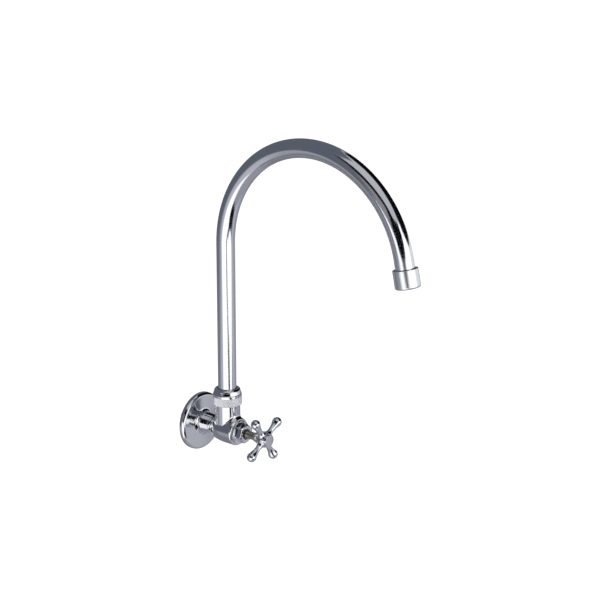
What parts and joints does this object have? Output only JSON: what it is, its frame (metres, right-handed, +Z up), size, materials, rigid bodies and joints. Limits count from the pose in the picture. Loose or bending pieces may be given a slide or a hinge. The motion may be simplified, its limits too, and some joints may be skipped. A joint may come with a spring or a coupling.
{
  "type": "wall faucet",
  "caption": "Wall-mounted single tap with a swivelling gooseneck spout, a rising stem valve and a cross handle.",
  "frame": {"origin": "on the inlet axis, in the plane of the wall's face", "axes": "+Z up along the riser, +Y into the wall along the inlet, so the spout and handle stand out towards -Y; +X to the right seen from the front"},
  "size_m": [0.061, 0.299, 0.3519],
  "materials": {
    "chrome_flange": "polished chrome on pressed sheet",
    "chrome_cast": "polished chrome on a casting",
    "chrome_hex": "polished chrome",
    "chrome_nut": "polished chrome with a straight knurl",
    "chrome_tube": "polished chrome on drawn tube",
    "chrome_aerator": "polished chrome",
    "chrome_handle": "polished chrome on a die casting",
    "satin_button": "satin chrome",
    "stem_brass": "unplated, dull brown-grey",
    "brass": "machined",
    "fibre": "pressed grey fibre",
    "graphite": "graphited yarn",
    "nylon": "natural nylon",
    "rubber": "moulded nitrile rubber",
    "insert": "moulded acetal",
    "mesh_steel": "woven and pressed stainless",
    "zinc_screw": "zinc plated"
  },
  "bodies": {
    "tap": {"wall_flange": "chrome_flange", "valve_body": "chrome_cast", "bonnet_gasket": "fibre", "bonnet": "chrome_hex", "packing_washer": "brass", "stem_packing": "graphite", "gland_bush": "stem_brass", "spout_nut": "chrome_nut", "lower_bush": "nylon", "upper_bush": "nylon"},
    "spout": {"spout_tube": "chrome_tube", "spout_ferrule": "brass", "spout_o_rings": "rubber", "outlet_nipple": "brass", "aerator_housing": "chrome_aerator", "aerator_gasket": "rubber", "aerator_cartridge": "insert", "aerator_screen": "mesh_steel", "aerator_grid": "mesh_steel"},
    "washer_holder": {"jumper": "brass", "seat_washer": "rubber", "washer_screw": "brass"},
    "spindle": {"stem": "stem_brass", "cross_handle": "chrome_handle", "handle_screw": "zinc_screw", "index_button": "satin_button"}
  },
  "joints": [
    {"name": "spout_swivel", "type": "hinge", "parent": "tap", "child": "spout", "pos_m": [0, -0.04, 0.03], "axis": [0, 0, 1], "range_deg": [-90, 90]},
    {"name": "valve_lift", "type": "slide", "parent": "tap", "child": "washer_holder", "axis": [0, -1, 0], "range_m": [0, 0.00601]},
    {"name": "handle_turn", "type": "hinge", "parent": "washer_holder", "child": "spindle", "pos_m": [0, -0.09, 0], "axis": [0, -1, 0], "range_deg": [0, 720]}
  ],
  "couplings": [
    {"joint": "valve_lift", "follows": "handle_turn", "m_per_rad": 0.00047746}
  ]
}
